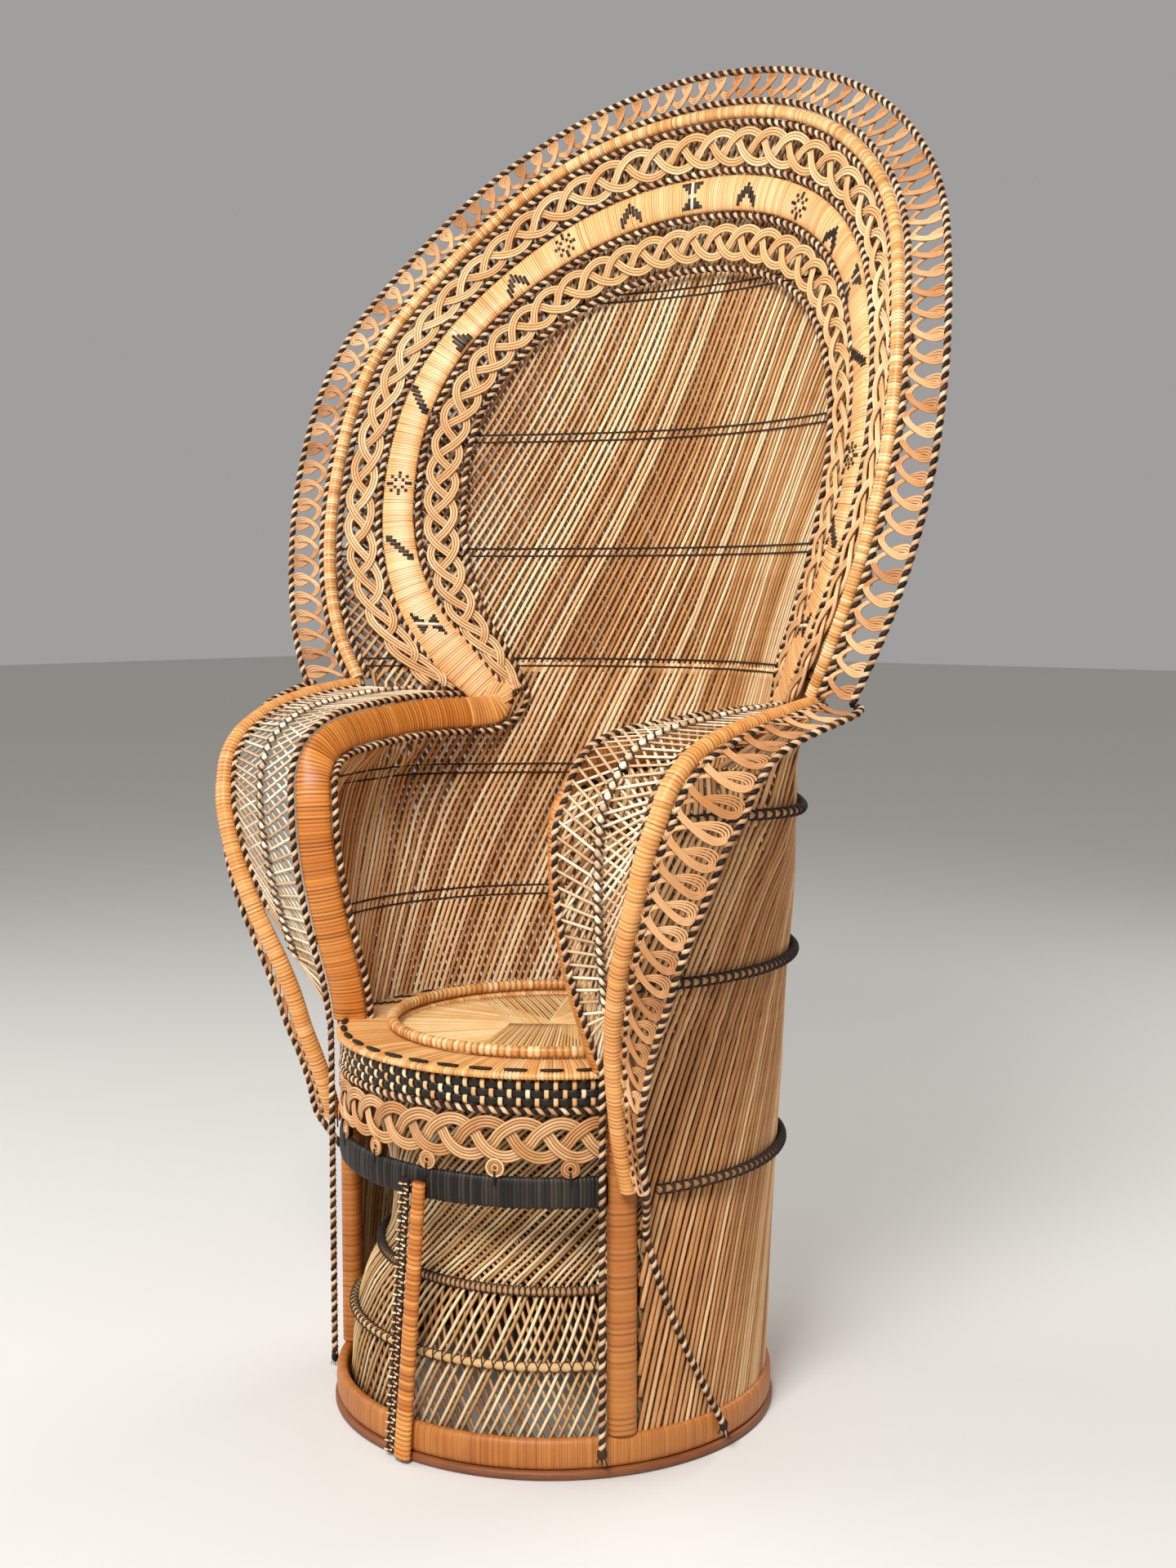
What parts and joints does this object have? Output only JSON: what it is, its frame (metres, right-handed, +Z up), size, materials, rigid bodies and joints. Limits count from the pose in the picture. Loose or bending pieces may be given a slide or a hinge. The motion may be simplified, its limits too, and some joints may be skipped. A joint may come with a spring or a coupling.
{
  "type": "peacock chair",
  "caption": "Woven rattan peacock chair with an hourglass base, round seat, leaf-shaped wings and a tall fan back.",
  "frame": {"origin": "on the floor, under the middle of the chair's bounding box", "axes": "+Z up, -Y is the way the chair faces, +X to the right as seen from in front"},
  "size_m": [0.9382, 0.5484, 1.52],
  "materials": {
    "honey_cane": "thin split cane wound closely round hoops, honey coloured with a soft gloss",
    "pale_cane": "pale split cane, braided, laced and looped, satin",
    "brown_cane": "older orange-brown cane, wound round posts and the base, satin",
    "reed": "thin round reeds standing side by side, dry and matt",
    "cord": "two-strand twisted cord, one strand black and one pale, matt",
    "black_cane": "split cane stained blue-black, satin",
    "dark_twine": "dark brown lashing, matt"
  },
  "bodies": {
    "root": {"seat_rim": "honey_cane", "seat_raised_hoop": "honey_cane", "centre_stick": "honey_cane", "thin_hoop": "honey_cane", "pattern_band": "honey_cane", "right_arm_hoop": "honey_cane", "right_wing_hoop": "honey_cane", "left_arm_hoop": "honey_cane", "left_wing_hoop": "honey_cane", "lower_pedestal_hoop": "pale_cane", "seat_star": "pale_cane", "inner_braid": "pale_cane", "outer_braid": "pale_cane", "fringe": "pale_cane", "right_leaf_outer_lattice": "pale_cane", "right_leaf_inner_lattice": "pale_cane", "right_wing_fringe": "pale_cane", "left_leaf_outer_lattice": "pale_cane", "left_leaf_inner_lattice": "pale_cane", "left_wing_fringe": "pale_cane", "base_hoop": "brown_cane", "base_band": "brown_cane", "right_post": "brown_cane", "left_post": "brown_cane", "seat_frame_hoop": "brown_cane", "pedestal_lattice": "reed", "seat_apron": "reed", "fan_sheet": "reed", "tube_sheet": "reed", "seat_cord": "cord", "panel_cord": "cord", "band_inner_cord": "cord", "band_outer_cord": "cord", "hoop_inner_cord": "cord", "hoop_outer_cord": "cord", "edge_cord": "cord", "right_arm_inner_cord": "cord", "right_arm_outer_cord": "cord", "right_wing_inner_cord": "cord", "right_wing_outer_cord": "cord", "right_wing_edge_cord": "cord", "left_arm_inner_cord": "cord", "left_arm_outer_cord": "cord", "left_wing_inner_cord": "cord", "left_wing_outer_cord": "cord", "left_wing_edge_cord": "cord", "black_ring": "black_cane", "upper_pedestal_hoop": "dark_twine", "seat_checker_band": "dark_twine", "centre_stick_strip": "dark_twine", "tube_hoop_low": "dark_twine", "tube_hoop_middle": "dark_twine", "tube_hoop_high": "dark_twine", "right_leaf_rib": "dark_twine", "left_leaf_rib": "dark_twine"}
  },
  "joints": []
}
